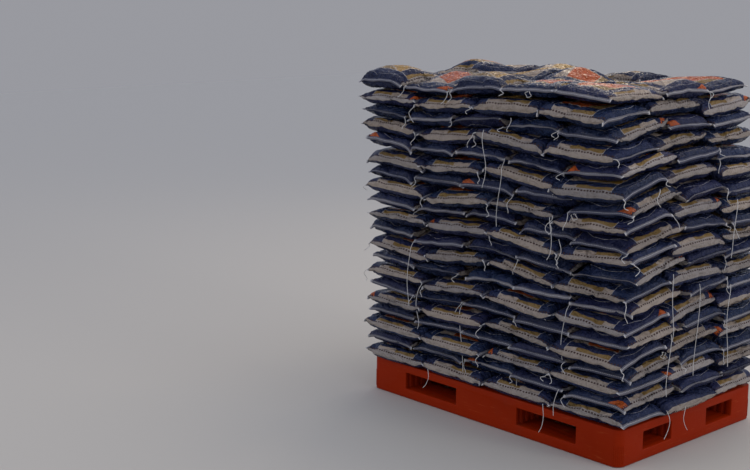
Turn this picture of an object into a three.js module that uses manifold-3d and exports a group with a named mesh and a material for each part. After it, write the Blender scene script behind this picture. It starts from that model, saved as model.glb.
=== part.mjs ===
// A loaded pallet: one moulded plastic pallet carrying twenty layers of flat, sewn sacks laid in an
// interlocking pattern. Millimetres, +Z up, +X along the pallet's long side. The origin is on the floor
// under the middle of the pallet.
import * as THREE from "three";
import { mergeVertices } from "three/addons/utils/BufferGeometryUtils.js";
import Module from "manifold-3d";

const wasm = await Module();
wasm.setup();

// Driving dimensions of the pallet
const PALLET_LENGTH = 1200;
const PALLET_WIDTH = 800;
const PALLET_HEIGHT = 130;
const DECK_THICKNESS = 30;
const RAIL_THICKNESS = 36;
const PALLET_CORNER_RADIUS = 32;
const CORNER_LEG_LENGTH = 184;
const CORNER_LEG_WIDTH = 132;
const FORK_OPENING_LONG_SIDE = 268;
const FORK_OPENING_SHORT_SIDE = 163;
const RIB_GROOVE_WIDTH = 12;
const RIB_GROOVE_DEPTH = 5;
const RIB_PITCH = 30;

// Driving dimensions of the sacks
const LAYERS = 20;
const LAYER_PITCH = 56;
const SACK_LENGTH = 300;
const SACK_WIDTH = 240;
const SEATING_GAP = 0.3;
const SIDE_ROUNDING = 15;
const FLAT_BAND = 14;
const NOTCH_DEPTH = 42;
const NOTCH_HALF_WIDTH = 13;
const STACK_CORNER_CUT = 30;
const TOP_CROWN = 16;

// How the stack stands: its foot bulges over the pallet's edge, and its upper part leans towards -X
const FOOT_SPREAD = 0.034;
const TOP_SPREAD = -0.02;
const LEAN_START_LAYER = 12;
const LEAN_TOWARDS_MINUS_X = 84;
const SACK_WANDER = 9;

const orangePlastic = new THREE.MeshStandardMaterial({
  color: 0xc8401a,
  roughness: 0.55,
  metalness: 0,
});
const printedSack = new THREE.MeshStandardMaterial({
  color: 0x2b3566,
  roughness: 0.4,
  metalness: 0,
});

const pallet = new THREE.Group();

// A geometry as a solid that can be joined or cut, and back again
function toSolid(geometry) {
  const bare = new THREE.BufferGeometry();
  bare.setAttribute("position", geometry.getAttribute("position"));
  bare.setIndex(geometry.index);
  const merged = mergeVertices(bare, 1e-3);
  return new wasm.Manifold(
    new wasm.Mesh({
      numProp: 3,
      vertProperties: new Float32Array(merged.getAttribute("position").array),
      triVerts: new Uint32Array(merged.index.array),
    }),
  );
}

function toGeometry(solid) {
  const mesh = solid.getMesh();
  const geometry = new THREE.BufferGeometry();
  geometry.setAttribute("position", new THREE.BufferAttribute(mesh.vertProperties, 3));
  geometry.setIndex(new THREE.BufferAttribute(mesh.triVerts, 1));
  geometry.computeVertexNormals();
  return geometry;
}

// A block given by its lowest and highest corners
function block(low, high) {
  const size = high.map((value, axis) => value - low[axis]);
  const geometry = new THREE.BoxGeometry(...size);
  geometry.translate(...low.map((value, axis) => value + size[axis] / 2));
  return toSolid(geometry);
}

// A pallet face reads leg, opening, middle leg, opening, leg: these are its two openings
function forkOpenings(faceLength, legLength, openingLength) {
  const start = faceLength / 2 - legLength - openingLength;
  return [
    [-start - openingLength, -start],
    [start, start + openingLength],
  ];
}

// Places of the shallow grooves that leave upright ribs along one stretch of a leg's inner wall
function ribGrooves(low, high) {
  const count = Math.floor((high - low - RIB_GROOVE_WIDTH) / RIB_PITCH);
  const first = (low + high) / 2 - ((count - 1) * RIB_PITCH) / 2;
  return Array.from({ length: count }, (_, i) => first + i * RIB_PITCH);
}

// The solid stretches between and beside the openings of a face
function legSpans(faceLength, openings) {
  const half = faceLength / 2;
  return [
    [-half, openings[0][0]],
    [openings[0][1], openings[1][0]],
    [openings[1][1], half],
  ];
}

function makePallet() {
  const outline = new THREE.Shape();
  const x = PALLET_LENGTH / 2 - PALLET_CORNER_RADIUS;
  const y = PALLET_WIDTH / 2 - PALLET_CORNER_RADIUS;
  outline.absarc(x, y, PALLET_CORNER_RADIUS, 0, Math.PI / 2);
  outline.absarc(-x, y, PALLET_CORNER_RADIUS, Math.PI / 2, Math.PI);
  outline.absarc(-x, -y, PALLET_CORNER_RADIUS, Math.PI, Math.PI * 1.5);
  outline.absarc(x, -y, PALLET_CORNER_RADIUS, Math.PI * 1.5, Math.PI * 2);
  const slab = new THREE.ExtrudeGeometry(outline, {
    depth: PALLET_HEIGHT,
    bevelEnabled: false,
    curveSegments: 5,
  });
  let body = toSolid(slab);

  const past = 1;
  const low = RAIL_THICKNESS;
  const high = PALLET_HEIGHT - DECK_THICKNESS;
  const alongX = forkOpenings(PALLET_LENGTH, CORNER_LEG_LENGTH, FORK_OPENING_LONG_SIDE);
  const alongY = forkOpenings(PALLET_WIDTH, CORNER_LEG_WIDTH, FORK_OPENING_SHORT_SIDE);
  const endX = PALLET_LENGTH / 2 + past;
  const endY = PALLET_WIDTH / 2 + past;

  // Fork tunnels from face to face, both ways
  for (const [x0, x1] of alongX) body = body.subtract(block([x0, -endY, low], [x1, endY, high]));
  for (const [y0, y1] of alongY) body = body.subtract(block([-endX, y0, low], [endX, y1, high]));

  // Windows through the floor of the pallet, where the tunnels cross
  for (const [x0, x1] of alongX)
    for (const [y0, y1] of alongY) body = body.subtract(block([x0, y0, -past], [x1, y1, low + past]));

  // Upright ribs on the legs' inner walls
  const reach = RIB_GROOVE_DEPTH;
  const half = RIB_GROOVE_WIDTH / 2;
  for (const [x0, x1] of alongX)
    for (const span of legSpans(PALLET_WIDTH, alongY))
      for (const at of ribGrooves(...span))
        body = body.subtract(block([x0 - reach, at - half, low], [x1 + reach, at + half, high]));
  for (const [y0, y1] of alongY)
    for (const span of legSpans(PALLET_LENGTH, alongX))
      for (const at of ribGrooves(...span))
        body = body.subtract(block([at - half, y0 - reach, low], [at + half, y1 + reach, high]));
  return toGeometry(body);
}

// A repeatable draw from 0 to 1 for one sack of one layer
function chance(layer, sack, use) {
  const wave = Math.sin(layer * 12.9898 + sack * 78.233 + use * 37.719) * 43758.5453;
  return wave - Math.floor(wave);
}

function smooth(value) {
  const t = Math.min(Math.max(value, 0), 1);
  return t * t * (3 - 2 * t);
}

// Odd layers have four sacks lying along the -Y face and two rows of five turned sacks behind them.
// Even layers have five turned sacks on the -Y face and two rows of four lying sacks behind them.
function rowsOf(layer) {
  const lying = { count: 4, alongX: SACK_LENGTH, alongY: SACK_WIDTH };
  const turned = { count: 5, alongX: SACK_WIDTH, alongY: SACK_LENGTH };
  return layer % 2 ? [lying, turned, turned] : [turned, lying, lying];
}

// The sacks of a layer with their places, row by row from the -Y face
function sacksOf(layer) {
  const rows = rowsOf(layer);
  const rise = smooth((layer - LEAN_START_LAYER) / (LAYERS - LEAN_START_LAYER));
  const spread = 1 + FOOT_SPREAD + (TOP_SPREAD - FOOT_SPREAD) * rise;
  const lean = -LEAN_TOWARDS_MINUS_X * rise;
  let y = -rows.reduce((sum, row) => sum + row.alongY, 0) / 2;
  let number = 0;
  return rows.map((row) => {
    const sacks = [];
    for (let i = 0; i < row.count; i++) {
      const middle = (i + 0.5) * row.alongX - (row.count * row.alongX) / 2;
      sacks.push({
        number: number++,
        x: middle * spread + lean,
        y: y + row.alongY / 2,
        halfX: (row.alongX * spread) / 2,
        halfY: row.alongY / 2,
      });
    }
    y += row.alongY;
    return sacks;
  });
}

// One layer's outline, anticlockwise: each sack's side stands out by its own amount, and a notch parts
// it from the next sack
function layerOutline(layer) {
  const rows = sacksOf(layer);
  const front = rows[0];
  const back = [...rows[2]].reverse();
  const right = rows.map((row) => row[row.length - 1]);
  const left = rows.map((row) => row[0]).reverse();
  const out = (sack, use) => SACK_WANDER * (2 * chance(layer, sack.number, use) - 1);
  const points = [];
  // Each side as sacks in walking order, with the direction walked and the direction outwards
  const sides = [
    [front, [1, 0], [0, -1], 1],
    [right, [0, 1], [1, 0], 2],
    [back, [-1, 0], [0, 1], 3],
    [left, [0, -1], [-1, 0], 4],
  ];
  for (const [sacks, walk, outward, use] of sides)
    sacks.forEach((sack, i) => {
      const alongHalf = walk[0] ? sack.halfX : sack.halfY;
      const outHalf = (walk[0] ? sack.halfY : sack.halfX) + out(sack, use);
      const at = (along, away) =>
        new THREE.Vector2(
          sack.x + walk[0] * along + outward[0] * away,
          sack.y + walk[1] * along + outward[1] * away,
        );
      const last = sacks.length - 1;
      const startCut = i === 0 ? STACK_CORNER_CUT : NOTCH_HALF_WIDTH;
      const endCut = i === last ? STACK_CORNER_CUT : NOTCH_HALF_WIDTH;
      points.push(at(startCut - alongHalf, outHalf));
      points.push(at(alongHalf - endCut, outHalf));
      if (i < last) points.push(at(alongHalf, outHalf - NOTCH_DEPTH));
    });
  return new THREE.Shape(points);
}

// A shape raised to one layer's height, with its sides rounded in above and below
function raised(shape, height, segments) {
  const rounding = (height - FLAT_BAND) / 2;
  const geometry = new THREE.ExtrudeGeometry(shape, {
    depth: FLAT_BAND,
    bevelEnabled: true,
    bevelThickness: rounding,
    bevelSize: SIDE_ROUNDING,
    bevelOffset: -SIDE_ROUNDING,
    bevelSegments: segments,
    curveSegments: 3,
  });
  geometry.translate(0, 0, rounding);
  return geometry;
}

// The top layer shows all its sacks, each a crowned cushion joined to its neighbours low down
function topLayer(layer) {
  const overlap = 4;
  const corner = 34;
  let body = null;
  for (const sack of sacksOf(layer).flat()) {
    const x = sack.halfX + overlap;
    const y = sack.halfY + overlap;
    const outline = new THREE.Shape([
      new THREE.Vector2(x, y - corner),
      new THREE.Vector2(x - corner, y),
      new THREE.Vector2(corner - x, y),
      new THREE.Vector2(-x, y - corner),
      new THREE.Vector2(-x, corner - y),
      new THREE.Vector2(corner - x, -y),
      new THREE.Vector2(x - corner, -y),
      new THREE.Vector2(x, corner - y),
    ]);
    const crown = TOP_CROWN * chance(layer, sack.number, 5);
    const geometry = raised(outline, LAYER_PITCH + crown, 2);
    geometry.translate(sack.x, sack.y, 0);
    const cushion = toSolid(geometry);
    body = body ? body.add(cushion) : cushion;
  }
  return toGeometry(body);
}

function addMesh(name, geometry, material, height) {
  const mesh = new THREE.Mesh(geometry, material);
  mesh.name = name;
  mesh.position.z = height;
  pallet.add(mesh);
}

addMesh("pallet", makePallet(), orangePlastic, 0);
for (let layer = 1; layer <= LAYERS; layer++) {
  const foot = PALLET_HEIGHT + (layer - 1) * LAYER_PITCH + SEATING_GAP;
  const geometry =
    layer < LAYERS
      ? raised(layerOutline(layer), LAYER_PITCH - SEATING_GAP, 1)
      : topLayer(layer);
  addMesh("sack_layer_" + String(layer).padStart(2, "0"), geometry, printedSack, foot);
}

export default pallet;
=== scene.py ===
import math

import bmesh
import bpy
import numpy as np
from mathutils import Matrix, Vector


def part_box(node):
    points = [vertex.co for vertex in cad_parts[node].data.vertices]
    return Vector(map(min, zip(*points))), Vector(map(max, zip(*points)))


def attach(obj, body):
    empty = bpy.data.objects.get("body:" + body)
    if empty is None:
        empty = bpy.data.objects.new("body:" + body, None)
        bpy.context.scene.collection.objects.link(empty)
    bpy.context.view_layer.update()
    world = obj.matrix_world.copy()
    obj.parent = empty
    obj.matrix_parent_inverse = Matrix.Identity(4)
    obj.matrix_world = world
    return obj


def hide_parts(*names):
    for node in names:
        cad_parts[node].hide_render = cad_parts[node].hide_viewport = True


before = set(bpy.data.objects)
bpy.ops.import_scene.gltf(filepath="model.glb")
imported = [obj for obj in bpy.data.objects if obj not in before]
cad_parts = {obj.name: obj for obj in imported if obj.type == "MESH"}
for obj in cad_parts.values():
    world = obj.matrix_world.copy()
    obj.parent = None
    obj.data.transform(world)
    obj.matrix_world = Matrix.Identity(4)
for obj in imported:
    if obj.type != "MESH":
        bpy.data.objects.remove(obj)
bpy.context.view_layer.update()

scene = bpy.context.scene

# Camera
# It stands at eye level off the near corner, so the front face (-Y) runs away to the left and the
# end face (+X) to the right, with a slight tilt down and a slight roll.
eye = Vector((3.078, -3.797, 1.583))
turn, tilt, roll = math.radians(47.25), math.radians(10.96), math.radians(0.46)
camera = bpy.data.objects.new("camera", bpy.data.cameras.new("camera"))
camera.data.lens = 63.06
camera.matrix_world = (
    Matrix.Translation(eye)
    @ Matrix.Rotation(turn, 4, "Z")
    @ Matrix.Rotation(math.pi / 2 - tilt, 4, "X")
    @ Matrix.Rotation(roll, 4, "Z")
)
scene.collection.objects.link(camera)
scene.camera = camera


# Floor and light
# A plain pale floor; a big warm light above and a little behind, a window far behind, two soft
# fills, of which the end face gets the stronger, and a weak, very soft skylight.
def node(tree, kind, inputs=(), **settings):
    """One shader node with its settings, its inputs given as (name or number, value or socket)."""
    made = tree.nodes.new(kind)
    for name, value in settings.items():
        setattr(made, name, value)
    for name, value in inputs:
        socket = made.inputs[name]
        if isinstance(value, bpy.types.NodeSocket):
            tree.links.new(value, socket)
        else:
            socket.default_value = value
    return made


def finish_material(name, roughness=0.5, specular=0.5):
    """An empty material: its tree, its Principled BSDF and itself."""
    material = bpy.data.materials.new(name)
    material.use_nodes = True
    tree = material.node_tree
    surface = tree.nodes["Principled BSDF"]
    surface.inputs["Roughness"].default_value = roughness
    surface.inputs["Specular IOR Level"].default_value = specular
    return tree, surface, material


def soft_light(name, place, aim, size, power, tint):
    lamp = bpy.data.lights.new(name, "AREA")
    lamp.shape = "SQUARE"
    lamp.size = size
    lamp.energy = power
    lamp.color = tint
    holder = bpy.data.objects.new(name, lamp)
    holder.location = place
    holder.rotation_euler = (Vector(aim) - Vector(place)).to_track_quat("-Z", "Y").to_euler()
    scene.collection.objects.link(holder)


floor_mesh = bpy.data.meshes.new("floor")
floor_half = 14.0
floor_mesh.from_pydata(
    [(x * floor_half, y * floor_half, -0.001) for x, y in ((-1, -1), (1, -1), (1, 1), (-1, 1))],
    [],
    [(0, 1, 2, 3)],
)
floor = bpy.data.objects.new("floor", floor_mesh)
scene.collection.objects.link(floor)
_, floor_surface, floor_material = finish_material("pale_floor", roughness=0.75, specular=0.3)
floor_surface.inputs["Base Color"].default_value = (0.50, 0.475, 0.42, 1)
floor_mesh.materials.append(floor_material)

world = bpy.data.worlds.new("soft_room")
world.use_nodes = True
room = world.node_tree
room_light = room.nodes["Background"]
room_light.inputs["Color"].default_value = (0.57, 0.61, 0.76, 1)
room_light.inputs["Strength"].default_value = 0.88
backdrop = node(room, "ShaderNodeBackground", [("Color", (0.635, 0.641, 0.699, 1)), ("Strength", 0.5)])
seen = node(room, "ShaderNodeLightPath").outputs["Is Camera Ray"]
shown = node(
    room,
    "ShaderNodeMixShader",
    [(0, seen), (1, room_light.outputs["Background"]), (2, backdrop.outputs["Background"])],
)
room.links.new(shown.outputs["Shader"], room.nodes["World Output"].inputs["Surface"])
scene.world = world
scene.view_settings.view_transform = "Standard"
soft_light("overhead", (-0.2, 2.1, 4.1), (0, 0, 1.0), 2.2, 34, (1.0, 0.79, 0.54))
soft_light("far_window", (-2.6, 3.4, 2.9), (0, 0, 1.1), 0.8, 12, (1.0, 0.85, 0.64))
soft_light("end_fill", (4.8, 0.6, 2.4), (0.3, 0, 0.6), 1.2, 39, (1.0, 0.95, 0.91))
soft_light("front_fill", (-1.8, -4.8, 2.6), (0, 0, 0.6), 1.6, 20, (1.0, 0.95, 0.89))
day = bpy.data.lights.new("skylight", "SUN")
day.energy = 0.33
day.angle = math.radians(70)
day_holder = bpy.data.objects.new("skylight", day)
day_holder.rotation_euler = (math.radians(-18), math.radians(14), 0)
scene.collection.objects.link(day_holder)


# Pallet
# Moulded in one piece from orange-red polyethylene: a closed deck rim, nine legs and bottom rails
# all round. Its edges leave the mould rounded, and fine upright flutes stiffen its corners.
def calc(tree, operation, *values, clamp=False):
    """One math node's result."""
    return node(tree, "ShaderNodeMath", enumerate(values), operation=operation, use_clamp=clamp).outputs[0]


def mixed(tree, amount, low, high):
    """A colour between two colours."""
    return node(tree, "ShaderNodeMix", [(0, amount), (6, low), (7, high)], data_type="RGBA").outputs[2]


def noise(tree, place, size, detail, **more):
    """A noise texture's value."""
    inputs = [("Vector", place), ("Scale", size), ("Detail", detail), *more.items()]
    return node(tree, "ShaderNodeTexNoise", inputs).outputs["Fac"]


def ranged(tree, value, kind="LINEAR", **limits):
    """A value moved from one range to another, given by from_min, from_max, to_min and to_max."""
    inputs = [("Value", value)]
    inputs += [(name.replace("_", " ").title(), limit) for name, limit in limits.items()]
    return node(tree, "ShaderNodeMapRange", inputs, interpolation_type=kind).outputs["Result"]


def bumped(tree, surface, height, distance, strength=1.0):
    """Gives a surface fine relief."""
    inputs = [("Height", height), ("Distance", distance), ("Strength", strength)]
    bump = node(tree, "ShaderNodeBump", inputs)
    tree.links.new(bump.outputs["Normal"], surface.inputs["Normal"])


def dust_group():
    """Dull dust and rubbed patches: a mask and a shade that vary over the surface."""
    group = bpy.data.node_groups.new("handling_dust", "ShaderNodeTree")
    group.interface.new_socket("Vector", in_out="INPUT", socket_type="NodeSocketVector")
    for name, value in (("Patch Size", 6.0), ("Coverage", 0.5)):
        socket = group.interface.new_socket(name, in_out="INPUT", socket_type="NodeSocketFloat")
        socket.default_value = value
    group.interface.new_socket("Mask", in_out="OUTPUT", socket_type="NodeSocketFloat")
    group.interface.new_socket("Fine", in_out="OUTPUT", socket_type="NodeSocketFloat")
    given = group.nodes.new("NodeGroupInput").outputs
    patches = noise(group, given["Vector"], given["Patch Size"], 6.0, Roughness=0.62)
    edge = calc(group, "SUBTRACT", 1.0, given["Coverage"])
    mask = ranged(group, patches, "SMOOTHSTEP", from_min=edge, from_max=0.95)
    fine_size = calc(group, "MULTIPLY", given["Patch Size"], 14.0)
    fine = noise(group, given["Vector"], fine_size, 3.0)
    node(group, "NodeGroupOutput", [("Mask", mask), ("Fine", fine)])
    return group


handling_dust = dust_group()


def dusty(tree, place, patch_size, coverage):
    """The dust group placed in a material: its mask and its shade."""
    inputs = [("Vector", place), ("Patch Size", patch_size), ("Coverage", coverage)]
    return node(tree, "ShaderNodeGroup", inputs, node_tree=handling_dust).outputs


def moulded_orange():
    """Satin plastic with dark, dull patches that grow towards the floor, and rubbed in thin level lines."""
    tree, surface, material = finish_material("moulded_orange", specular=0.07)
    place = node(tree, "ShaderNodeTexCoord").outputs["Object"]
    clean, deep = (0.33, 0.0215, 0.0006, 1), (0.26, 0.0142, 0.0004, 1)
    base = mixed(tree, noise(tree, place, 3.2, 4.0), clean, deep)
    dust = dusty(tree, place, 7.0, 0.42)
    height = node(tree, "ShaderNodeSeparateXYZ", [("Vector", place)]).outputs["Z"]
    # Dark, rough patches from the dust mask, stronger towards the floor
    low_down = ranged(tree, height, from_min=0.055, from_max=0.0)
    darkening = calc(tree, "MULTIPLY", dust["Mask"], calc(tree, "ADD", low_down, 0.28), clamp=True)
    darkened = mixed(tree, calc(tree, "MULTIPLY", darkening, 0.75), base, (0.13, 0.06, 0.034, 1))
    stretched = node(tree, "ShaderNodeMapping", [("Vector", place), ("Scale", (9.0, 9.0, 160.0))])
    scratches = noise(tree, stretched.outputs[0], 1.6, 5.0)
    rubbed = ranged(tree, scratches, from_min=0.64, from_max=0.74, to_max=0.45)
    worn = mixed(tree, rubbed, darkened, (0.52, 0.10, 0.028, 1))
    tree.links.new(worn, surface.inputs["Base Color"])
    shine = ranged(tree, dust["Fine"], to_min=0.36, to_max=0.62)
    tree.links.new(calc(tree, "ADD", shine, calc(tree, "MULTIPLY", darkening, 0.25)), surface.inputs["Roughness"])
    grain, ripple = noise(tree, place, 420.0, 2.0), noise(tree, place, 16.0, 2.0)
    relief = calc(tree, "ADD", calc(tree, "MULTIPLY", grain, 0.1), ripple)
    bumped(tree, surface, relief, 0.0012, 0.5)
    return material


def plain_object(name, mesh, material):
    """An object at the origin for a finished mesh."""
    made = bpy.data.objects.new(name, mesh)
    scene.collection.objects.link(made)
    if material:
        mesh.materials.append(material)
    return made


def applied(made):
    """The object with its modifiers applied to its mesh."""
    evaluated = made.evaluated_get(bpy.context.evaluated_depsgraph_get())
    mesh = bpy.data.meshes.new_from_object(evaluated)
    made.modifiers.clear()
    made.data = mesh
    return made


def add_corner_flutes(shell):
    """Fine upright half-round flutes on the pallet's four rounded corners."""
    low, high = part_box("pallet")
    radius, flutes, flute_radius = 0.032, 7, 0.0016
    foot, head = 0.010, 0.074
    for sign_x in (-1, 1):
        for sign_y in (-1, 1):
            centre = Vector((sign_x * (high.x - radius), sign_y * (high.y - radius), 0))
            for i in range(flutes):
                angle = math.radians(12 + 66 * i / (flutes - 1))
                across = Vector((sign_x * math.cos(angle), sign_y * math.sin(angle), 0))
                spot = centre + across * (radius - 0.0004)
                made = bmesh.ops.create_cone(
                    shell,
                    cap_ends=True,
                    segments=8,
                    radius1=flute_radius,
                    radius2=flute_radius,
                    depth=head - foot,
                )
                bmesh.ops.translate(shell, verts=made["verts"], vec=spot + Vector((0, 0, (head + foot) / 2)))


pallet_shell = bmesh.new()
pallet_shell.from_mesh(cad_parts["pallet"].data)
bmesh.ops.remove_doubles(pallet_shell, verts=pallet_shell.verts, dist=1e-5)
bmesh.ops.dissolve_limit(
    pallet_shell, angle_limit=math.radians(1), verts=pallet_shell.verts, edges=pallet_shell.edges
)
pallet_mesh = bpy.data.meshes.new("moulded_pallet")
pallet_shell.to_mesh(pallet_mesh)
pallet_piece = plain_object("moulded_pallet", pallet_mesh, moulded_orange())
rounding = pallet_piece.modifiers.new("mould_rounding", "BEVEL")
rounding.width = 0.0026
rounding.segments = 2
rounding.limit_method = "ANGLE"
rounding.angle_limit = math.radians(35)
applied(pallet_piece)
pallet_shell.clear()
pallet_shell.from_mesh(pallet_piece.data)
add_corner_flutes(pallet_shell)
pallet_shell.to_mesh(pallet_piece.data)
pallet_shell.free()
pallet_piece.data.shade_smooth()
pallet_piece.data.set_sharp_from_angle(angle=math.radians(40))
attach(pallet_piece, "root")
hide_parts("pallet")

# Filled sacks
# A sack is a flat tube of woven film, sewn shut at both ends and filled with grain. Each shape below
# is cloth that starts flat and is pressed up by its filling between the layer above and the one below.
layer_pitch = 0.056
sack_length, sack_width = 0.300, 0.240
flat_length, flat_width = 0.334, 0.272
filled_half_length, filled_half_width = 0.151, 0.1215
filling_frames = 36
cloth_step = 0.0065
cells_long = round(flat_length / cloth_step)
cells_wide = round(flat_width / cloth_step)


def cell_corners(grid):
    """The four corners of each cell of a grid of numbers or of points."""
    corners = np.stack([grid[:-1, :-1], grid[1:, :-1], grid[1:, 1:], grid[:-1, 1:]], 2)
    return corners.reshape(-1, 4, *grid.shape[2:])


def flat_sack(name, seed):
    """The empty sack: two sheets that share their rim, and each sheet's vertex numbers."""
    draws = np.random.default_rng(seed)
    along = np.linspace(-flat_length / 2, flat_length / 2, cells_long + 1)
    across = np.linspace(-flat_width / 2, flat_width / 2, cells_wide + 1)
    x, y = np.meshgrid(along, across, indexing="ij")
    to_rim = np.minimum(flat_length / 2 - abs(x), flat_width / 2 - abs(y))
    inside = to_rim > 1e-6
    start_gap = np.where(inside, 0.0015 + 0.003 * np.clip(to_rim / 0.03, 0, 1) ** 0.6, 0)
    crease = draws.normal(0, 0.0006, x.shape) * inside
    count = x.size
    face_ids = np.arange(count).reshape(x.shape)
    back_ids = face_ids.copy()
    back_ids[1:-1, 1:-1] = count + np.arange(inside.sum()).reshape(cells_long - 1, cells_wide - 1)
    face = np.stack([x, y, start_gap + crease], -1).reshape(-1, 3)
    back = np.stack([x, y, crease - start_gap], -1)[1:-1, 1:-1].reshape(-1, 3)
    quads = []
    for ids, order in ((face_ids, (0, 1, 2, 3)), (back_ids, (0, 3, 2, 1))):
        quads += cell_corners(ids)[:, order].tolist()
    mesh = bpy.data.meshes.new(name)
    mesh.from_pydata(np.concatenate([face, back]).tolist(), [], quads)
    return plain_object(name, mesh, None), face_ids, back_ids


def press_plate(height, lumps=0.0, seed=0):
    """What presses on a sack while it fills: flat between layers, ridged and domed on the top one."""
    half, cells = 0.3, 48 if lumps else 1
    steps = np.linspace(-half, half, cells + 1)
    x, y = np.meshgrid(steps, steps, indexing="ij")
    draws = np.random.default_rng(seed)
    z = np.full(x.shape, height)
    if lumps:
        z += 0.7 * lumps * np.clip(1 - (x / 0.16) ** 2, 0, 1) * np.clip(1 - (y / 0.13) ** 2, 0, 1)
        for fold in range(10):
            heading, away = draws.uniform(0, math.tau), draws.uniform(-0.10, 0.10)
            ridge = abs(x * math.cos(heading) + y * math.sin(heading) - away)
            z += lumps * (1 if fold % 2 else -1) * draws.uniform(3, 7) * ridge
    quads = cell_corners(np.arange(x.size).reshape(x.shape))
    if height > 0:
        quads = quads[:, ::-1]
    mesh = bpy.data.meshes.new("press_plate")
    mesh.from_pydata(np.stack([x, y, z], -1).reshape(-1, 3).tolist(), [], quads.tolist())
    plate = plain_object("press_plate", mesh, None)
    plate.modifiers.new("press", "COLLISION")
    plate.collision.thickness_outer = 0.001
    plate.collision.cloth_friction = 5
    return plate


def filled_sack(seed, slack, pressure, bending, lumps=0.0, thickness=layer_pitch):
    """One filled shape as two grids of points, (cells + 1) each way: its face and its back."""
    sack, face_ids, back_ids = flat_sack("sack_in_filling", seed)
    plates = [press_plate(-thickness / 2), press_plate(thickness / 2, lumps, seed)]
    cloth = sack.modifiers.new("filling", "CLOTH")
    film = cloth.settings
    film.quality = 6
    film.mass = 0.15
    film.tension_stiffness = film.compression_stiffness = 15
    film.shear_stiffness = 5
    film.bending_stiffness = bending
    film.tension_damping = film.compression_damping = film.shear_damping = 3
    film.air_damping = 2
    film.shrink_min = film.shrink_max = -slack
    film.use_pressure = True
    film.uniform_pressure_force = pressure
    film.effector_weights.gravity = 0
    cloth.collision_settings.use_self_collision = False
    cloth.collision_settings.distance_min = 0.001
    for step in range(1, filling_frames + 1):
        scene.frame_set(step)
    points = np.array([v.co for v in applied(sack).data.vertices])
    scene.frame_set(1)
    for plate in plates:
        bpy.data.objects.remove(plate)
    bpy.data.objects.remove(sack)
    face, back = points[face_ids], points[back_ids]
    reach = np.array([np.median(abs(face[[0, -1], 8:-8, 0])), np.median(abs(face[8:-8, [0, -1], 1])), 1.0])
    fit = np.array([filled_half_length, filled_half_width, reach[2]]) / reach
    return face * fit, back * fit


# How slack the film is, how hard the filling presses, and how stiff the film is in bending
filled_shapes = [
    filled_sack(seed, slack, pressure, bending)
    for seed, slack, pressure, bending in (
        (1, 0.03, 6.0, 0.02),
        (2, 0.08, 2.2, 0.01),
        (3, 0.10, 1.6, 0.005),
        (4, 0.06, 1.3, 0.006),
        (5, 0.09, 3.0, 0.003),
    )
]
top_shapes = [
    filled_sack(seed, slack, pressure, bending, lumps=0.015)
    for seed, slack, pressure, bending in (
        (6, 0.09, 2.0, 0.005),
        (7, 0.12, 1.6, 0.004),
        (8, 0.10, 2.4, 0.004),
    )
]


# Sack layers
# Twenty layers interlock: odd layers show four lying sacks on the front face and even layers five
# turned ones. The stack spreads a little at its foot, and its upper third leans towards -X.
layers = 20
pallet_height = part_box("pallet")[1].z
foot_spread, top_spread = 0.034, -0.02
lean_start, lean = 12, 0.084
even_layer_spread = 1.055
sack_wander, sideways_share = 0.0095, 0.9

# Each property has a draw number of its own, so that a change to one leaves the others as they are
draw_numbers = dict(
    front_shift=1, right_shift=2, back_shift=3, left_shift=4, sideways_shift=6,
    flip_long=10, flip_wide=11, face_up=12, shape=13, ears=20, slope_x=24, fullness=25,
    ear_pull_x=26, ear_pull_y=27, skew=28, slope_y=29, print=30, fold_thinning=33,
    end_thinning=34, top_thickness=35, top_tilt_x=36, top_tilt_y=37, end_lift=38, fold_drop=39,
    hem_start=40, hem_end=41, hem_wave=42, hem_phase=43, hem_width=44, hem_droop=45, hem_kind=47,
    hem_upturn=49, thread_here=50, thread_length=51, long_thread=54, long_length=55,
    loop_here=58, loop_place=59, sway_pace=61, sway_phase=62, hook=63, loop_turn=64,
    dent_heading=130, dent_away=140, dent_depth=150, pucker=160, pleat=170, top_ears=2076,
)


def draws_of(layer, sack):
    """The repeatable draws, from 0 to 1, of one sack of one layer."""

    def draw(use, step=0):
        number = draw_numbers[use] + step
        wave = math.sin(layer * 12.9898 + sack * 78.233 + number * 37.719) * 43758.5453
        return wave - math.floor(wave)

    return draw


def print_draws(draw):
    """The three draws that vary a sack's print."""
    return [draw("print", step) for step in range(3)]


def signed(value):
    """A draw from 0 to 1 as one from -1 to 1."""
    return 2 * value - 1


def smooth(value):
    """A soft step: 0 up to 0, 1 from 1 on."""
    t = np.clip(value, 0, 1)
    return t * t * (3 - 2 * t)


def rise_of(layer):
    """How far up the leaning part of the stack a layer is, from 0 to 1."""
    return float(smooth((layer - lean_start) / (layers - lean_start)))


def lean_of(layer):
    """How far a layer has moved towards -X."""
    return lean * rise_of(layer)


def foot_of(layer):
    """The height of a layer's underside."""
    return pallet_height + (layer - 1) * layer_pitch


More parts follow.
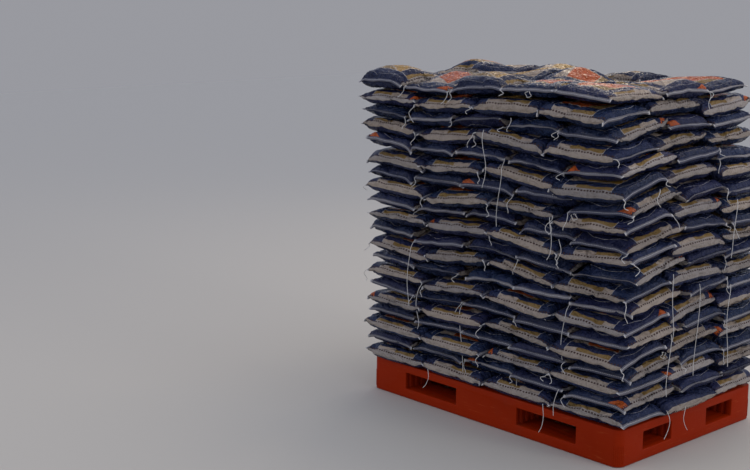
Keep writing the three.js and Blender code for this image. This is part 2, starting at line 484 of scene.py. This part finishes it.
def sacks_of(layer):
    """The places of a layer's sacks, in the order that the solids have them."""
    lying, turned = (4, sack_length, sack_width), (5, sack_width, sack_length)
    rows = [lying, turned, turned] if layer % 2 else [turned, lying, lying]
    spread = 1 + foot_spread + (top_spread - foot_spread) * rise_of(layer)
    y = -sum(row[2] for row in rows) / 2
    apart = 1.0 if layer % 2 else even_layer_spread
    number = 0
    for row, (count, along_x, along_y) in enumerate(rows):
        for i in range(count):
            draw = draws_of(layer, number)
            shift_x, shift_y = sideways_share * signed(draw("sideways_shift")), 0.0
            if row == 0:
                shift_y = -signed(draw("front_shift"))
            if row == 2:
                shift_y = signed(draw("back_shift"))
            if i == count - 1:
                shift_x = signed(draw("right_shift"))
            if i == 0:
                shift_x = -signed(draw("left_shift"))
            yield {
                "number": number,
                "row": row,
                "lying": along_x == sack_length,
                "x": ((i + 0.5) - count / 2) * along_x * spread - lean_of(layer) + shift_x * sack_wander,
                "y": (y + along_y / 2) * apart + shift_y * sack_wander,
                "stretch": spread,
                "left": i == 0,
                "right": i == count - 1,
                "inner": row == 1 and 0 < i < count - 1,
            }
            number += 1
        y += along_y


def settle(points, layer):
    """How the stack has sagged at its sides since it was laid; all layers that meet at a place share it."""
    x, y, z = points[:, 0], points[:, 1], points[:, 2]
    from_middle = x + lean_of(layer)
    # Metres of sag at each side, with a slow wave along it
    front = smooth((-0.18 - y) / 0.24) * (-0.018 + 0.009 * np.cos(10.1 * x))
    back = smooth((y - 0.20) / 0.22) * (-0.014 + 0.009 * np.cos(9.0 * x + 1.3))
    end = smooth((from_middle - 0.38) / 0.22) * (-0.003 + 0.006 * np.sin(9.0 * y + 2.0))
    far_end = smooth((-from_middle - 0.38) / 0.22) * (-0.008 + 0.007 * np.sin(8.0 * y))
    inside = 0.0025 * np.sin(13.0 * x + 1.0) * np.cos(11.0 * y)
    # The foot of the stack hasn't sagged, and its top hardly has, apart from its left end
    firm_top = 0.9 * smooth((from_middle + 0.15) / 0.35) * smooth((z - 1.0) / 0.25)
    loose = smooth((z - 0.20) / 0.30) * (1 - firm_top)
    moved = points.copy()
    moved[:, 2] += loose * (front + back + end + far_end + inside)
    return moved


def kept_steps(cells, rim, stride):
    """Which grid lines of the simulated cloth a sack keeps: all near its rim, fewer in its middle."""
    middle = list(range(rim, cells - rim, stride))
    return sorted(set(range(rim)) | set(middle) | set(range(cells - rim, cells + 1)))


grids = {
    "hidden": (kept_steps(cells_long, 1, 7), kept_steps(cells_wide, 1, 7)),
    "side": (kept_steps(cells_long, 8, 3), kept_steps(cells_wide, 8, 3)),
    "top": (list(range(cells_long + 1)), list(range(cells_wide + 1))),
}


def sack_faces(rows, columns):
    """Quads of a sack that keeps these grid lines, with each corner's place on the print."""
    wide = len(columns)
    face_ids = np.arange(len(rows) * wide).reshape(len(rows), wide)
    back_ids = face_ids.copy()
    inner = (len(rows) - 2, wide - 2)
    back_ids[1:-1, 1:-1] = face_ids.size + np.arange(inner[0] * inner[1]).reshape(inner)
    u, v = np.meshgrid(np.array(rows) / cells_long, np.array(columns) / cells_wide, indexing="ij")
    quads, prints = [], []
    for ids, side, order in ((face_ids, v, (0, 1, 2, 3)), (back_ids, 2 - v, (0, 3, 2, 1))):
        for grid, store in ((ids, quads), (np.stack([u, side], -1), prints)):
            store.append(cell_corners(grid)[:, order])
    return np.concatenate(quads), np.concatenate(prints)


# A sack is free to tip from these distances from the stack's middle; its slopes are rise per run
free_half_length, free_half_width, free_reach = 0.50, 0.31, 0.09
free_slope, right_slope, top_tilt = 0.058, 0.065, 0.06

# Distances from a sack's middle at which its ends and folds turn down, its corner ears start, and its
# rim is drawn in
end_start, fold_start, turn_reach = 0.110, 0.080, 0.045
ear_start_x, ear_start_y = 0.115, 0.085
rim_start_x, rim_start_y, rim_squeeze = 0.142, 0.116, 0.42
dents, dent_width = 6, 0.008
face_up_share = 0.93


def outer_side(x, y, layer):
    """How near a place is to the stack's outer sides, where a sack is free to tip: from 0 to 1."""
    from_middle = x + lean_of(layer)
    past = np.maximum(abs(from_middle) - free_half_length, abs(y) - free_half_width)
    return smooth(past / free_reach)


def squeezed(place, rim_start):
    """Places along one axis of a sack, with the rim drawn in."""
    drawn_in = rim_start + (abs(place) - rim_start) * rim_squeeze
    return np.sign(place) * np.where(abs(place) > rim_start, drawn_in, abs(place))


def place_sack(layer, sack, shape):
    """The sack's face and back grids, laid in its place in the stack."""
    draw = draws_of(layer, sack["number"])
    flip_long = 1 if draw("flip_long") < 0.5 else -1
    flip_wide = 1 if draw("flip_wide") < 0.5 else -1
    top = layer == layers
    front_up = top or draw("face_up") < face_up_share
    slope_x = 0.0 if top else free_slope * signed(draw("slope_x"))
    slope_y = 0.0 if top else free_slope * signed(draw("slope_y")) + (right_slope if sack["right"] else 0)
    ears = "top_ears" if top else "ears"
    loosened = min(1, (layer - 1) / 3)
    grids_out = []
    for grid in shape:
        x = grid[..., 0] * flip_long
        y = grid[..., 1] * flip_wide
        z = grid[..., 2] * (1 if front_up else -1)
        x = squeezed(x, rim_start_x)
        y = squeezed(y, rim_start_y)
        to_end = smooth((abs(x) - end_start) / turn_reach)
        to_fold = smooth((abs(y) - fold_start) / turn_reach)
        z = z * (1 - 0.10 * draw("fold_thinning") * to_fold) * (1 - 0.12 * draw("end_thinning") * to_end)
        end_lift = 0.005 + 0.006 * signed(draw("end_lift"))
        fold_drop = 0.003 + 0.004 * signed(draw("fold_drop"))
        z = z + end_lift * to_end - fold_drop * to_fold
        for dent in range(dents):
            heading = math.tau * draw("dent_heading", dent)
            away = 0.13 * signed(draw("dent_away", dent))
            from_dent = x * math.cos(heading) + y * math.sin(heading) - away
            depth = (0.10 + 0.22 * draw("dent_depth", dent)) * np.exp(-(from_dent / dent_width) ** 2)
            z = z * (1 - depth * np.maximum(to_end, to_fold))
        pucker = sum(np.sin(x * (60 + 55 * n) + 9 * draw("pucker", n)) / (1 + n) for n in range(3))
        y = y * (1 + 0.012 * pucker * to_fold)
        pleat = sum(np.sin(y * (70 + 60 * n) + 9 * draw("pleat", n)) / (1 + n) for n in range(3))
        x = x * (1 + 0.009 * pleat * to_end)
        z = z + 0.0012 * pucker * to_fold + 0.0012 * pleat * to_end
        ear_x = np.clip((abs(x) - ear_start_x) / turn_reach, 0, 1)
        ear_y = np.clip((abs(y) - ear_start_y) / turn_reach, 0, 1)
        ear = ear_x * ear_y
        which = (x > 0) * 2 + (y > 0)
        bend = np.choose(which.astype(int), [signed(draw(ears, corner)) for corner in range(4)])
        z = z + ear * (-0.005 + 0.012 * bend)
        x = x * (1 - 0.035 * ear * (0.4 + draw("ear_pull_x")))
        y = y * (1 - 0.035 * ear * (0.4 + draw("ear_pull_y")))
        z = z * (1.07 - 0.05 * draw("fullness"))
        if top:
            tilt_x = top_tilt * signed(draw("top_tilt_x"))
            tilt_y = top_tilt * signed(draw("top_tilt_y"))
            z = z * (0.76 + 0.13 * draw("top_thickness")) + tilt_x * x * (1 - 0.5 * to_end) + tilt_y * y
        skew = math.radians(3.0 * signed(draw("skew")))
        x, y = x * math.cos(skew) - y * math.sin(skew), x * math.sin(skew) + y * math.cos(skew)
        if sack["lying"]:
            x = x * sack["stretch"]
        else:
            x, y = -y * sack["stretch"], x
        z = z + loosened * outer_side(x + sack["x"], y + sack["y"], layer) * (slope_x * x + slope_y * y)
        place = np.stack([x + sack["x"], y + sack["y"], z + foot_of(layer) + layer_pitch / 2], -1)
        grids_out.append(settle(place.reshape(-1, 3), layer).reshape(place.shape))
    turned_over = flip_long * flip_wide * (1 if front_up else -1) < 0
    return grids_out, turned_over


def printed_film():
    """The sack's film: its print follows the flat sack in millimetres, so it turns the folds with it."""
    tree, surface, material = finish_material("printed_film", specular=0.11)
    on_print = node(tree, "ShaderNodeUVMap", uv_map="print").outputs["UV"]
    place = node(tree, "ShaderNodeSeparateXYZ", [("Vector", on_print)]).outputs
    own_sack = node(tree, "ShaderNodeAttribute", attribute_name="sack_draw").outputs
    own, looseness = own_sack["Vector"], own_sack["Alpha"]
    draw = node(tree, "ShaderNodeSeparateXYZ", [("Vector", own)]).outputs
    navy, teal_navy = (0.018, 0.019, 0.050, 1), (0.013, 0.032, 0.068, 1)
    ink_navy, paper = (0.020, 0.025, 0.078, 1), (0.42, 0.33, 0.25, 1)
    cream, cool_cream = (0.37, 0.30, 0.235, 1), (0.325, 0.288, 0.26, 1)
    gold, pale_gold = (0.34, 0.165, 0.016, 1), (0.46, 0.27, 0.055, 1)
    # The gold strip beside the fold is inked in darker copies of the gold: painted shade from the sack above
    shaded_gold, shaded_pale_gold = (0.23, 0.135, 0.034, 1), (0.32, 0.215, 0.085, 1)
    orange, deep_orange = (0.50, 0.090, 0.008, 1), (0.32, 0.046, 0.007, 1)
    rule_brown, pale_line_and_highlight = (0.055, 0.025, 0.02, 1), (0.36, 0.34, 0.33, 1)

    def plus(a, b):
        return calc(tree, "ADD", a, b)

    def minus(a, b):
        return calc(tree, "SUBTRACT", a, b)

    def times(*values):
        result = values[0]
        for value in values[1:]:
            result = calc(tree, "MULTIPLY", result, value)
        return result

    def above(value, low):
        return calc(tree, "GREATER_THAN", value, low)

    def below(value, high):
        return calc(tree, "LESS_THAN", value, high)

    def within(value, low, high):
        return times(above(value, low), below(value, high))

    def wave(value, turns_per_mm, height):
        return times(calc(tree, "SINE", times(value, turns_per_mm * math.tau)), height)

    def inked(mask, under, over):
        return mixed(tree, mask, under, over)

    def fading(value, reach):
        return ranged(tree, value, "SMOOTHSTEP", from_min=reach, from_max=0.0)

    # Millimetres along and across the flat sack, and from its sewn ends and its folds
    panel_end, panel_side, band_side = 71.0, 24.0, 14.0
    back = above(place["Y"], 1.0)
    face = minus(1.0, back)
    drift = times(minus(draw["Y"], 0.5), 8.0)
    long_mm = times(minus(place["X"], 0.5), flat_length * 1000)
    wide_mm = times(minus(calc(tree, "PINGPONG", place["Y"], 1.0), 0.5), flat_width * 1000)
    from_end = minus(flat_length * 500, calc(tree, "ABSOLUTE", plus(long_mm, drift)))
    from_fold = minus(flat_width * 500, calc(tree, "ABSOLUTE", wide_mm))

    # The body, and on the face a panel: gold fields darkened as painted shade and pale fields, a wavy navy
    # ring, a slanted middle field
    body = inked(draw["Z"], navy, teal_navy)
    body = inked(noise(tree, on_print, 3.0, 3.0), body, ink_navy)
    shaded_gold_field = above(plus(long_mm, wave(wide_mm, 0.0072, 20.0)), -28.0)
    hatching = times(above(wave(plus(long_mm, wide_mm), 0.21, 1.0), 0.25), 0.55)
    panel = inked(shaded_gold_field, paper, inked(hatching, shaded_gold, shaded_pale_gold))
    fine_bars = times(above(wave(wide_mm, 0.16, 1.0), 0.35), 0.6)
    slant = plus(long_mm, times(wide_mm, 0.55))
    middle_field = times(within(slant, -64.0, 66.0), above(from_fold, 71.0))
    panel = inked(within(plus(from_fold, wave(long_mm, 0.009, 3.0)), 37.0, 66.0), panel, body)
    panel = inked(times(within(slant, -69.0, 71.0), above(from_fold, 66.0)), panel, paper)
    warm = above(draw["X"], 0.42)
    middle_ink = inked(warm, inked(fine_bars, pale_gold, gold), inked(fine_bars, orange, deep_orange))
    panel = inked(middle_field, panel, middle_ink)
    ink = inked(times(face, above(from_end, panel_end), above(from_fold, panel_side)), body, panel)
    ink = inked(times(back, above(from_end, 96.0), above(from_fold, 70.0)), ink, paper)

    # Some sacks are printed orange at one corner
    one_end = times(above(draw["Y"], 0.72), below(long_mm, 0.0), above(wide_mm, 0.0))
    orange_end = times(one_end, below(plus(from_end, times(from_fold, 0.7)), 60.0))
    ink = inked(times(face, orange_end, above(from_fold, band_side)), ink, orange)

    # Lines at the ends, the curved one also a painted highlight, then the pale side band that turns the fold,
    # and the dashed rule beside it
    # The pale arc near each end is a printed line that also serves as a painted highlight on the film
    arc = plus(from_end, times(calc(tree, "COSINE", times(wide_mm, 0.022)), 15.0))
    end_lines_and_arc_highlight = calc(
        tree,
        "MAXIMUM",
        times(within(from_end, 68.0, panel_end), above(from_fold, 20.0)),
        times(within(arc, 41.0, 42.6), above(from_fold, 44.0)),
    )
    ink = inked(times(face, end_lines_and_arc_highlight), ink, pale_line_and_highlight)
    side_cream = inked(draw["Y"], cream, cool_cream)
    panel_border = times(face, above(from_end, panel_end), within(from_fold, band_side, 24.5))
    ink = inked(panel_border, ink, side_cream)
    full_band = minus(band_side, times(back, 7.0))
    narrowing = plus(full_band, times(fading(from_end, 60.0), -5.0))
    ink = inked(below(from_fold, narrowing), ink, side_cream)
    dashes = below(calc(tree, "FRACT", times(long_mm, 0.08)), 0.60)
    ink = inked(times(face, within(from_fold, band_side, 19.5), dashes), ink, rule_brown)

    # Each sack differs a little in shade, and carries its own dust
    shade = ranged(tree, draw["X"], to_min=0.76, to_max=1.08)
    shaded = node(
        tree, "ShaderNodeHueSaturation", [("Color", ink), ("Value", shade), ("Saturation", 0.97)]
    ).outputs["Color"]
    own_place = node(
        tree,
        "ShaderNodeVectorMath",
        [(0, own), (1, (9.0, 7.0, 5.0)), (2, on_print)],
        operation="MULTIPLY_ADD",
    ).outputs[0]
    dust = dusty(tree, own_place, 5.0, 0.5)
    dulled = inked(times(dust["Mask"], 0.13), shaded, (0.20, 0.185, 0.175, 1))
    tree.links.new(dulled, surface.inputs["Base Color"])
    clear_film = minus(0.20, times(looseness, 0.16))
    tree.links.new(clear_film, surface.inputs["Coat Weight"])
    surface.inputs["Coat Roughness"].default_value = 0.07
    shine = ranged(tree, dust["Fine"], to_min=0.16, to_max=0.34)
    clean_shine = minus(shine, times(looseness, 0.06))
    tree.links.new(plus(clean_shine, times(dust["Mask"], 0.22)), surface.inputs["Roughness"])

    # Creases are sharp where a noise crosses its middle; pleats run in from the seams; then the weave
    def creases(size, distortion=0.0, stretch=(1.0, 1.0, 1.0)):
        stretched = node(tree, "ShaderNodeVectorMath", [(0, own_place), (1, stretch)], operation="MULTIPLY")
        field = noise(tree, stretched.outputs[0], size, 1.0, Distortion=distortion)
        return calc(tree, "ABSOLUTE", minus(field, 0.5))

    crumpled = plus(plus(0.35, times(draw["Z"], 0.8)), times(looseness, 0.7))
    broad = plus(times(creases(4.5, 0.4), 2.4, crumpled), times(creases(9.0, 0.6), 1.5, crumpled))
    fine = plus(times(creases(19.0, 0.9), 0.75, crumpled), times(creases(52.0, 0.5), 0.09))
    seam_pleats = times(creases(7.0, 0.3, (0.35, 3.2, 1.0)), fading(from_end, 70.0), 1.5)
    fold_puckers = times(creases(6.0, 0.2, (4.2, 0.5, 1.0)), fading(from_fold, 42.0), 0.8)
    weave = times(wave(long_mm, 0.42, 1.0), wave(wide_mm, 0.42, 1.0), 0.010)
    relief = plus(plus(plus(broad, fine), plus(seam_pleats, fold_puckers)), weave)
    bumped(tree, surface, relief, 0.022, 0.8)
    return material


film = printed_film()
top_looseness, side_looseness = 1.0, 0.35
seams = []
for layer in range(1, layers + 1):
    points, quads, prints, draws = [], [], [], []
    used = 0
    for sack in sacks_of(layer):
        draw = draws_of(layer, sack["number"])
        kind = "top" if layer == layers else ("hidden" if sack["inner"] else "side")
        rows, columns = grids[kind]
        shapes = top_shapes if kind == "top" else filled_shapes
        shape = shapes[int(draw("shape") * len(shapes))]
        (face, back), turned_over = place_sack(layer, sack, shape)
        kept_face = face[np.ix_(rows, columns)]
        kept_back = back[np.ix_(rows, columns)][1:-1, 1:-1]
        sack_quads, sack_prints = sack_faces(rows, columns)
        if turned_over:
            sack_quads, sack_prints = sack_quads[:, ::-1], sack_prints[:, ::-1]
        sack_points = np.concatenate([kept_face.reshape(-1, 3), kept_back.reshape(-1, 3)])
        points.append(sack_points)
        quads.append(sack_quads + used)
        prints.append(sack_prints)
        looseness = top_looseness if kind == "top" else side_looseness
        draws.append(np.tile([*print_draws(draw), looseness], (len(sack_points), 1)))
        used += len(sack_points)
        if kind != "hidden":
            seams.append((layer, sack, face, back))
    mesh = bpy.data.meshes.new(f"sacks_{layer:02d}")
    mesh.from_pydata(np.concatenate(points).tolist(), [], np.concatenate(quads).tolist())
    mesh.uv_layers.new(name="print").data.foreach_set("uv", np.concatenate(prints).ravel())
    tone = mesh.attributes.new("sack_draw", "FLOAT_COLOR", "POINT")
    tone.data.foreach_set("color", np.concatenate(draws).ravel())
    mesh.shade_smooth()
    sacks_piece = plain_object(f"sacks_{layer:02d}", mesh, film)
    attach(sacks_piece, "root")
    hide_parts(f"sack_layer_{layer:02d}")


# Sewn mouths
# Each end of a sack is folded over once and sewn, which leaves a stiff strip that hangs from the seam,
# a little wavy, with pale ends that curl past the sack's corners; the pale paint of the ends is also a
# painted highlight.
hem_width, hem_half_thickness, hem_overlap = 0.0125, 0.0011, 0.002
seam_points_per_ring = 2

# The strip's outline as shares of its width and thickness, and which of its points is the free edge
hem_profile = ((0.0, 1), (0.9, 1), (1.0, 0), (0.9, -1), (0.0, -1))
free_edge = 2

# Half sizes of the stack at its faces, and how near to a face a hem counts as a part of it
face_half_length, face_half_width, near_face = 0.62, 0.42, 0.12


def hem_strip(line, outward, droop, draw):
    """A closed strip along the seam, as one ring of points for each point of the line."""
    down = Vector((0, 0, -1))
    line = line.copy()
    for _ in range(2):
        line[1:-1] = (line[:-2] + 2 * line[1:-1] + line[2:]) / 4
    run = line[-1] - line[0]
    run = run / np.linalg.norm(run)
    before, after = (0.001 + 0.005 * draw(use) for use in ("hem_start", "hem_end"))
    line = np.concatenate([[line[0] - run * before], line, [line[-1] + run * after]])
    width = hem_width * (0.9 + 0.2 * draw("hem_width"))
    pace, phase = 1 + draw("hem_wave"), 6 * draw("hem_phase")
    rings = []
    for i, point in enumerate(line):
        t = i / (len(line) - 1)
        bend = droop + 0.22 * math.sin(6.3 * t * pace + phase) - 0.5 * (2 * t - 1) ** 8
        lie = Vector(outward) * math.cos(bend) + down * math.sin(bend)
        thick = Vector(outward) * math.sin(bend) - down * math.cos(bend)
        start = Vector(point) - lie * hem_overlap
        rings.append([start + lie * (width * w) + thick * (h * hem_half_thickness) for w, h in hem_profile])
    return rings


hem_points, hem_quads, hem_prints, hem_draws, hem_tips = [], [], [], [], []
for layer, sack, face, back in seams:
    draw = draws_of(layer, sack["number"])
    for end, (row, inner) in enumerate(((0, 1), (-1, -2))):
        seam = face[row]
        middle = seam[len(seam) // 2]
        inwards = (face[inner, len(seam) // 2] + back[inner, len(seam) // 2]) / 2
        axis = 0 if sack["lying"] else 1
        outward = [0.0, 0.0, 0.0]
        outward[axis] = 1.0 if middle[axis] > inwards[axis] else -1.0
        if axis == 0:
            to_face = face_half_length - abs(middle[0] + lean_of(layer))
        else:
            to_face = face_half_width - abs(middle[1])
        outer_row = sack["row"] != 1 or sack["left"] or sack["right"]
        beside_face = sack["lying"] and outer_row and abs(middle[1]) > 0.1
        if layer < layers and to_face >= near_face and not beside_face:
            continue
        line = np.concatenate([seam[:-1:seam_points_per_ring], seam[-1:]])
        # About one hem in seven turns up, and one in five hangs straight down
        downward = 0.75 + 0.70 * draw("hem_droop", end)
        if draw("hem_kind", end) < 0.14:
            downward = 0.5 - 0.8 * draw("hem_upturn")
        elif draw("hem_kind", end) > 0.80:
            downward = 1.9
        rings = hem_strip(line, outward, downward, draw)
        base = len(hem_points)
        sides = len(hem_profile)
        gaps = len(rings) - 1
        for ring in rings:
            hem_points.extend(ring)
        for i in range(gaps):
            a, b = base + i * sides, base + (i + 1) * sides
            here, there = i / gaps, (i + 1) / gaps
            for j in range(sides):
                k = (j + 1) % sides
                low, high = hem_profile[j][0], hem_profile[k][0]
                hem_quads.append((a + j, b + j, b + k, a + k))
                hem_prints.append(((here, low), (there, low), (there, high), (here, high)))
        hem_quads.append(tuple(base + j for j in range(sides)))
        hem_quads.append(tuple(base + gaps * sides + j for j in reversed(range(sides))))
        hem_prints.extend([((0, 0),) * sides] * 2)
        hem_draws.extend([(*print_draws(draw), 1.0)] * (len(rings) * sides))
        first, last = rings[0][free_edge], rings[-1][free_edge]
        hem_tips.append((layer, sack, end, first, last, Vector(outward), to_face))


def hem_cloth():
    """Dull woven cloth with a line of stitches and pale tips, whose paint also serves as painted highlights.
    """
    tree, surface, material = finish_material("folded_hem", roughness=0.62, specular=0.35)
    on_hem = node(tree, "ShaderNodeUVMap", uv_map="hem").outputs["UV"]
    parts = node(tree, "ShaderNodeSeparateXYZ", [("Vector", on_hem)]).outputs
    own = node(tree, "ShaderNodeAttribute", attribute_name="sack_draw")
    place = node(tree, "ShaderNodeTexCoord").outputs["Object"]
    cloth = mixed(
        tree,
        node(tree, "ShaderNodeSeparateXYZ", [("Vector", own.outputs["Vector"])]).outputs["X"],
        (0.045, 0.048, 0.078, 1),
        (0.17, 0.16, 0.17, 1),
    )
    dust = dusty(tree, place, 18.0, 0.58)
    dulled = mixed(tree, calc(tree, "MULTIPLY", dust["Mask"], 0.85), cloth, (0.035, 0.037, 0.065, 1))
    stitch_run = calc(tree, "LESS_THAN", calc(tree, "FRACT", calc(tree, "MULTIPLY", parts["X"], 40.0)), 0.65)
    stitch_line = calc(
        tree, "LESS_THAN", calc(tree, "ABSOLUTE", calc(tree, "SUBTRACT", parts["Y"], 0.45)), 0.07
    )
    stitches = calc(tree, "MULTIPLY", stitch_run, stitch_line)
    # Pale curled ends of the strip; the pale paint also stands in for glints on the film, as painted
    # highlights
    to_tip = calc(tree, "SUBTRACT", 0.5, calc(tree, "ABSOLUTE", calc(tree, "SUBTRACT", parts["X"], 0.5)))
    pale_tip_highlight = ranged(tree, to_tip, from_min=0.07, from_max=0.0)
    dulled = mixed(tree, pale_tip_highlight, dulled, (0.62, 0.60, 0.58, 1))
    sewn = mixed(tree, calc(tree, "MULTIPLY", stitches, 0.7), dulled, (0.66, 0.64, 0.60, 1))
    tree.links.new(sewn, surface.inputs["Base Color"])
    weave = noise(tree, place, 260.0, 2.0)
    relief = calc(tree, "ADD", calc(tree, "MULTIPLY", weave, 0.4), stitches)
    bumped(tree, surface, relief, 0.0012, 0.6)
    return material


hem_mesh = bpy.data.meshes.new("sewn_mouths")
hem_mesh.from_pydata([tuple(p) for p in hem_points], [], hem_quads)
hem_mesh.uv_layers.new(name="hem").data.foreach_set(
    "uv", np.array([value for face in hem_prints for corner in face for value in corner], dtype=np.float32)
)
hem_tone = hem_mesh.attributes.new("sack_draw", "FLOAT_COLOR", "POINT")
hem_tone.data.foreach_set("color", np.array(hem_draws, dtype=np.float32).ravel())
hem_shell = bmesh.new()
hem_shell.from_mesh(hem_mesh)
bmesh.ops.recalc_face_normals(hem_shell, faces=hem_shell.faces)
hem_shell.to_mesh(hem_mesh)
hem_shell.free()
hem_mesh.shade_smooth()
hem_piece = plain_object("sewn_mouths", hem_mesh, hem_cloth())
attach(hem_piece, "root")


# Sewing thread
# The sewing machine leaves loose ends of thread at the mouths' corners. Most are a few centimetres
# long, some hang down over several layers, and some have been drawn into loops.
thread_radius, thread_sides, thread_step = 0.00105, 5, 0.012


def thread_tree():
    """Geometry Nodes that turn drawn lines into thread, and the identifiers of their inputs."""
    group = bpy.data.node_groups.new("spun_thread", "GeometryNodeTree")
    identifiers = {}
    kinds = {"Geometry": "Geometry", "Thread Radius": "Float", "Sides": "Int", "Material": "Material"}
    for name, kind in kinds.items():
        socket = group.interface.new_socket(name, in_out="INPUT", socket_type=f"NodeSocket{kind}")
        identifiers[name] = socket.identifier
    group.interface.new_socket("Geometry", in_out="OUTPUT", socket_type="NodeSocketGeometry")
    given = group.nodes.new("NodeGroupInput").outputs
    lines = node(group, "GeometryNodeMeshToCurve", [("Mesh", given["Geometry"])])
    profile = node(
        group,
        "GeometryNodeCurvePrimitiveCircle",
        [("Resolution", given["Sides"]), ("Radius", given["Thread Radius"])],
    )
    tubes = node(
        group,
        "GeometryNodeCurveToMesh",
        [
            ("Curve", lines.outputs["Curve"]),
            ("Profile Curve", profile.outputs["Curve"]),
            ("Fill Caps", True),
        ],
    )
    whole = node(group, "GeometryNodeRealizeInstances", [("Geometry", tubes.outputs["Mesh"])])
    dressed = node(
        group,
        "GeometryNodeSetMaterial",
        [("Geometry", whole.outputs["Geometry"]), ("Material", given["Material"])],
    )
    node(group, "NodeGroupOutput", [("Geometry", dressed.outputs["Geometry"])])
    return group, identifiers


def spun_thread():
    tree, surface, material = finish_material("spun_thread", roughness=0.8, specular=0.2)
    place = node(tree, "ShaderNodeTexCoord").outputs["Object"]
    twist = noise(tree, place, 320.0, 1.0)
    tone = mixed(tree, twist, (0.56, 0.54, 0.50, 1), (0.80, 0.78, 0.74, 1))
    tree.links.new(tone, surface.inputs["Base Color"])
    bumped(tree, surface, twist, 0.0006)
    return material


thread_lines = []


def hanging_thread(start, outward, length, draw, stand_off=0.012):
    """A loose end: out over the edge, then down, swaying a little, with a small hook at its tip."""
    sideways = Vector((-outward.y, outward.x, 0))
    steps = max(6, int(length / thread_step))
    pace, phase = 1 + draw("sway_pace"), 6 * draw("sway_phase")
    line = [start]
    for i in range(1, steps + 1):
        t = i / steps
        drop = length * t
        away = stand_off * min(1, drop / 0.018)
        sway = 0.010 * math.sin(3.0 * t * pace + phase) - 0.010 * math.sin(phase)
        hook = 0.010 * max(0.0, t - 0.85) / 0.15 * signed(draw("hook"))
        line.append(start + outward * away + sideways * (sway + hook) - Vector((0, 0, drop * 0.97)))
    thread_lines.append(line)


def thread_loop(start, outward, size, draw):
    """A loop of thread that stands off the face."""
    sideways = Vector((-outward.y, outward.x, 0))
    line = []
    for i in range(15):
        angle = math.pi * (0.2 + 1.9 * i / 14) + 2 * draw("loop_turn")
        ring = sideways * (size * math.cos(angle)) + Vector((0, 0, size * 0.8 * math.sin(angle)))
        line.append(start + outward * (0.006 + 0.004 * math.sin(3 * angle)) + ring - Vector((0, 0, size)))
    thread_lines.append(line)


# Each end of a sack has draws of its own, and the numbers of its two tips are two apart
for layer, sack, end, first, last, outward, to_face in hem_tips:
    draw = draws_of(layer, sack["number"] + 20 * end)
    at_face = to_face < near_face
    long_face = Vector((0, -1, 0)) if sack["row"] == 0 else Vector((0, 1, 0))
    facing = outward if at_face else long_face
    for step, tip in ((0, first), (2, last)):
        if draw("thread_here", step) > 0.34 or (not at_face and abs(tip.y) < 0.36):
            continue
        length = 0.018 + 0.05 * draw("thread_length", step) ** 2
        if draw("long_thread", step) < 0.07:
            length = 0.10 + 0.18 * draw("long_length", step)
        hanging_thread(tip, facing, min(length, tip.z - 0.03), draw)
    if draw("loop_here") < 0.14 and at_face:
        from_middle = 0.42 * signed(draw("loop_place"))
        thread_loop((first + last) / 2 + (last - first) * from_middle, facing, 0.012, draw)

# Long loose ends on the front and end faces: place along the face, height of the top, length. Their
# draws are those of two layers that the stack doesn't have.
front_hanger_y, end_hanger_x, hanger_stand_off = -0.436, 0.632, 0.004
front_hangers = (
    (-0.006, 1.078, 0.21),
    (0.301, 0.811, 0.15),
    (0.343, 0.742, 0.10),
    (0.298, 0.160, 0.108),
    (0.365, 0.228, 0.10),
    (-0.261, 0.156, 0.078),
    (0.117, 1.129, 0.05),
)
end_hangers = (
    (-0.190, 0.637, 0.24),
    (-0.185, 0.430, 0.22),
    (-0.033, 0.580, 0.33),
    (0.160, 0.550, 0.31),
    (0.171, 0.850, 0.21),
    (-0.188, 0.164, 0.10),
    (-0.076, 0.154, 0.088),
    (-0.288, 0.931, 0.06),
)
for number, (along, top, length) in enumerate(front_hangers):
    start = Vector((along, front_hanger_y, top))
    hanging_thread(start, Vector((0, -1, 0)), length, draws_of(31, number), hanger_stand_off)
for number, (along, top, length) in enumerate(end_hangers):
    start = Vector((end_hanger_x, along, top))
    hanging_thread(start, Vector((1, 0, 0)), length, draws_of(32, number), hanger_stand_off)

line_mesh = bpy.data.meshes.new("thread_ends")
line_points, line_edges = [], []
for line in thread_lines:
    base = len(line_points)
    line_points.extend(tuple(p) for p in line)
    line_edges.extend((base + i, base + i + 1) for i in range(len(line) - 1))
line_mesh.from_pydata(line_points, line_edges, [])
thread_piece = plain_object("thread_ends", line_mesh, None)
thread_nodes, thread_inputs = thread_tree()
spinning = thread_piece.modifiers.new("spun_thread", "NODES")
spinning.node_group = thread_nodes
spinning[thread_inputs["Thread Radius"]] = thread_radius
spinning[thread_inputs["Sides"]] = thread_sides
spinning[thread_inputs["Material"]] = spun_thread()
applied(thread_piece)
thread_piece.data.shade_smooth()
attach(thread_piece, "root")
